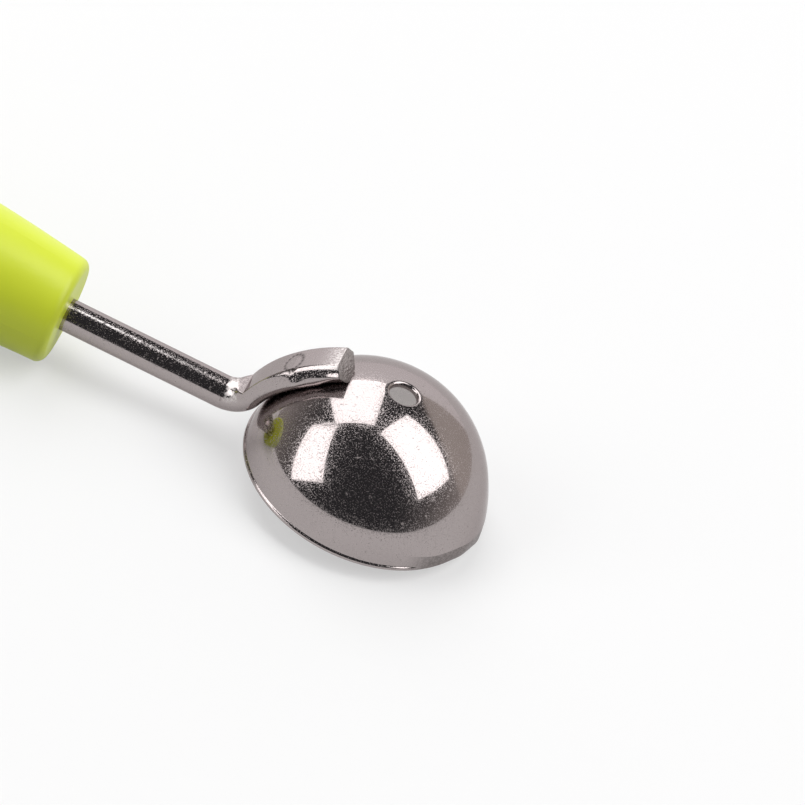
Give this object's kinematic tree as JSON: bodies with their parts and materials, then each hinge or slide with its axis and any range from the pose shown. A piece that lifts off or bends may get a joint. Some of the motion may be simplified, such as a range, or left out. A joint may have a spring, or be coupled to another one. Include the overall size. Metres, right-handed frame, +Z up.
{
  "type": "melon baller",
  "caption": "Hand scoop for melon balls: beaked half-ball steel bowl with a drain hole, spot-welded to a bent steel rod that is moulded into an oval plastic handle with a hanging hole.",
  "frame": {"origin": "bottom centre of the tool's box, as it lies bowl down on a table", "axes": "+X from the handle's butt to the bowl's beak, +Z up from the table towards the bowl's rounded back"},
  "size_m": [0.1524, 0.0298, 0.0185],
  "materials": {
    "polished_bowl": "pressed stainless steel sheet, buffed to a mirror, with fine scratches and pits",
    "polished_rod": "bright drawn stainless steel rod, polished, with forming marks on the pressed end",
    "weld_metal": "steel that has melted and set between the tongue and the bowl",
    "lime_plastic": "lime green injection-moulded plastic, half gloss, with a fine moulded surface"
  },
  "bodies": {
    "root": {"scoop_bowl": "polished_bowl", "shank": "polished_rod", "spot_welds": "weld_metal", "handle": "lime_plastic"}
  },
  "joints": []
}
